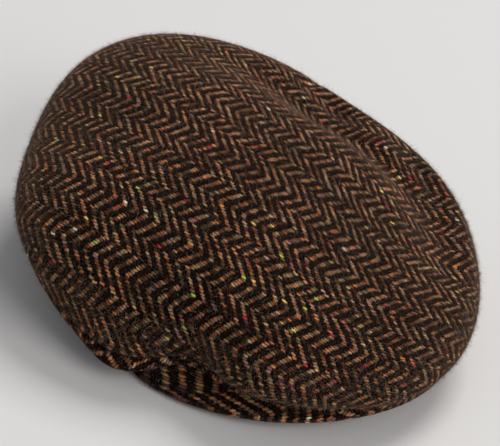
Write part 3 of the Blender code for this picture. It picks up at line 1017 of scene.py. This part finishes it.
def make_fuzz(name, points, normals, count, rng, lengths):
    """Stray wool on a surface: roots are picked from its grid by area, and every hair keeps its own tone."""
    rows, cols = points.shape[:2]
    across = np.linalg.norm(np.roll(points, -1, axis=1) - points, axis=-1)
    down = np.linalg.norm(np.gradient(points, axis=0), axis=-1)
    weight = (across * down).ravel()
    chosen = rng.choice(rows * cols, count, p=weight / weight.sum())
    row, col = np.divmod(chosen, cols)
    other = (col + 1) % cols
    share = rng.uniform(0.0, 1.0, (count, 1))
    roots = points[row, col] * (1 - share) + points[row, other] * share
    away = unit(normals[row, col] * (1 - share) + normals[row, other] * share)
    size = rng.uniform(*lengths, count)
    tubes = strands(roots - HAIR_ROOT * away, away, size, rng, HAIR_RADIUS)
    first = np.arange(count)[:, None, None] * HAIR_POINTS
    walls = first + np.array(((0, 3, 4, 1), (1, 4, 5, 2), (2, 5, 3, 0)))
    tips = first + np.array(((3, 6, 4), (4, 6, 5), (5, 6, 3)))
    faces = walls.reshape(-1, 4).tolist() + tips.reshape(-1, 3).tolist()
    mesh = bpy.data.meshes.new(name)
    mesh.from_pydata(tubes.reshape(-1, 3).tolist(), [], faces)
    tone = mesh.attributes.new("tone", "FLOAT", "POINT")
    tone.data.foreach_set("value", np.repeat(rng.uniform(0.0, 1.0, count), HAIR_POINTS).astype(np.float32))
    mesh.shade_smooth()
    piece = bpy.data.objects.new(name, mesh)
    bpy.context.scene.collection.objects.link(piece)
    return piece


def fuzz_material():
    """Wool hairs in browns, greys and near black."""
    material = bpy.data.materials.new("stray_wool")
    material.use_nodes = True
    tree = material.node_tree
    shader = tree.nodes["Principled BSDF"]
    node = tree.nodes.new("ShaderNodeAttribute")
    node.attribute_name = "tone"
    tint = ramp(tree, node.outputs["Fac"], HAIR_COLOURS)
    tree.links.new(tint, shader.inputs["Base Color"])
    shader.inputs["Roughness"].default_value = 0.8
    return material


# Setting. The camera's turns are azimuth, elevation and roll in degrees, and its lens is in millimetres.
CAMERA_TURNS = (-35.2, 32.6, 12.5)
CAMERA_TARGET = (-0.022, -0.029, 0.050)
CAMERA_DISTANCE = 0.472
CAMERA_LENS = 74.9
FLOOR_COLOUR = (0.655, 0.645, 0.636)
SKY_COLOUR = (0.93, 0.95, 1.0)
SKY_STRENGTH = 0.40


def make_floor():
    """Plain pale floor."""
    bpy.ops.mesh.primitive_plane_add(size=12.0, location=(0.0, 0.0, 0.0))
    floor = bpy.context.object
    floor.name = "floor"
    material = bpy.data.materials.new("pale_floor")
    material.use_nodes = True
    shader = material.node_tree.nodes["Principled BSDF"]
    shader.inputs["Base Color"].default_value = (*FLOOR_COLOUR, 1.0)
    shader.inputs["Roughness"].default_value = 0.9
    floor.data.materials.append(material)
    return floor


def set_view():
    """Plain view of the colours, without a film curve."""
    bpy.context.scene.view_settings.view_transform = "Standard"


def area_light(name, place, target, size, power, colour):
    """Square soft light that looks at a target."""
    light = bpy.data.lights.new(name, "AREA")
    light.size = size
    light.energy = power
    light.color = colour
    lamp = bpy.data.objects.new(name, light)
    lamp.location = place
    lamp.rotation_mode = "QUATERNION"
    lamp.rotation_quaternion = (Vector(target) - Vector(place)).to_track_quat("-Z", "Y")
    bpy.context.scene.collection.objects.link(lamp)


def make_lights():
    """Large soft key from behind on the right, a weak fill and a pale surround."""
    area_light("key", (4.0, 3.0, 6.0), (0.0, 0.0, 0.03), 3.4, 400.0, (1.0, 0.985, 0.96))
    area_light("fill", (0.9, -2.4, 1.8), (0.1, -0.3, 0.0), 1.8, 46.0, (1.0, 0.960, 0.92))
    world = bpy.data.worlds.new("surround")
    bpy.context.scene.world = world
    world.use_nodes = True
    sky = world.node_tree.nodes["Background"]
    sky.inputs["Color"].default_value = (*SKY_COLOUR, 1.0)
    sky.inputs["Strength"].default_value = SKY_STRENGTH


def make_camera():
    """Camera at the photograph's angle: right in front of the wearer's right side, and rolled."""
    azimuth, elevation, roll = np.radians(CAMERA_TURNS)
    target = np.array(CAMERA_TARGET)
    level_back = np.array([np.sin(azimuth), -np.cos(azimuth), 0.0])
    back = level_back * np.cos(elevation) + np.array([0.0, 0.0, np.sin(elevation)])
    level = np.array([np.cos(azimuth), np.sin(azimuth), 0.0])
    upright = np.cross(back, level)
    right = np.cos(roll) * level + np.sin(roll) * upright
    top = -np.sin(roll) * level + np.cos(roll) * upright
    camera = bpy.data.cameras.new("camera")
    camera.lens = CAMERA_LENS
    camera.sensor_width = 36.0
    camera.clip_start = 0.01
    holder = bpy.data.objects.new("camera", camera)
    turned = Matrix(np.array([right, top, back]).T.tolist())
    holder.matrix_world = Matrix.Translation(Vector(target + CAMERA_DISTANCE * back)) @ turned.to_4x4()
    bpy.context.scene.collection.objects.link(holder)
    bpy.context.scene.camera = holder


def finish_piece(piece, material, node):
    """Gives a piece its material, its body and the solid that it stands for."""
    piece.data.materials.append(material)
    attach(piece, "root")
    if node:
        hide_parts(node)


def main():
    """Builds the cap's pieces, their cloths, the floor, the lights and the camera."""
    weave = weave_group()
    yarns = yarn_group()
    nap = nap_group()
    top_cloth = tweed_material("crown_tweed", weave, yarns, nap)
    side_cloth = tweed_material("side_tweed", weave, yarns, nap)
    peak_cloth = tweed_material("peak_tweed", weave, yarns, nap)
    crown_top = make_crown_top()
    crown_side = make_crown_side()
    peak = make_peak()
    band = make_band()
    finish_piece(crown_top, top_cloth, "crown_top")
    finish_piece(crown_side, side_cloth, "crown_side")
    finish_piece(peak, peak_cloth, "peak")
    finish_piece(band, band_material(), "band")
    rng = np.random.default_rng(SEED)
    wool = fuzz_material()
    rows = crown_top_rows()
    normals = grid_normals(rows, np.zeros(3))
    hairs = make_fuzz("crown_stray_wool", rows, normals, TOP_HAIRS, rng, LONG_HAIRS)
    finish_piece(hairs, wool, None)
    hairs = make_fuzz("rim_stray_wool", rows[-RIM_ROWS:], normals[-RIM_ROWS:], RIM_HAIRS, rng, SHORT_HAIRS)
    finish_piece(hairs, wool, None)
    rows = crown_side_rows()[:-HEM_ROWS]
    normals = grid_normals(rows, np.array([0.0, 0.0, 0.5 * CROWN_HEIGHT]))
    hairs = make_fuzz("side_stray_wool", rows, normals, SIDE_HAIRS, rng, SHORT_HAIRS)
    finish_piece(hairs, wool, None)
    rows = peak_sections()[0].transpose(1, 0, 2)
    normals = grid_normals(rows, rows.mean(axis=(0, 1)))
    hairs = make_fuzz("peak_stray_wool", rows, normals, PEAK_HAIRS, rng, SHORT_HAIRS)
    finish_piece(hairs, wool, None)
    make_floor()
    set_view()
    make_lights()
    make_camera()


main()
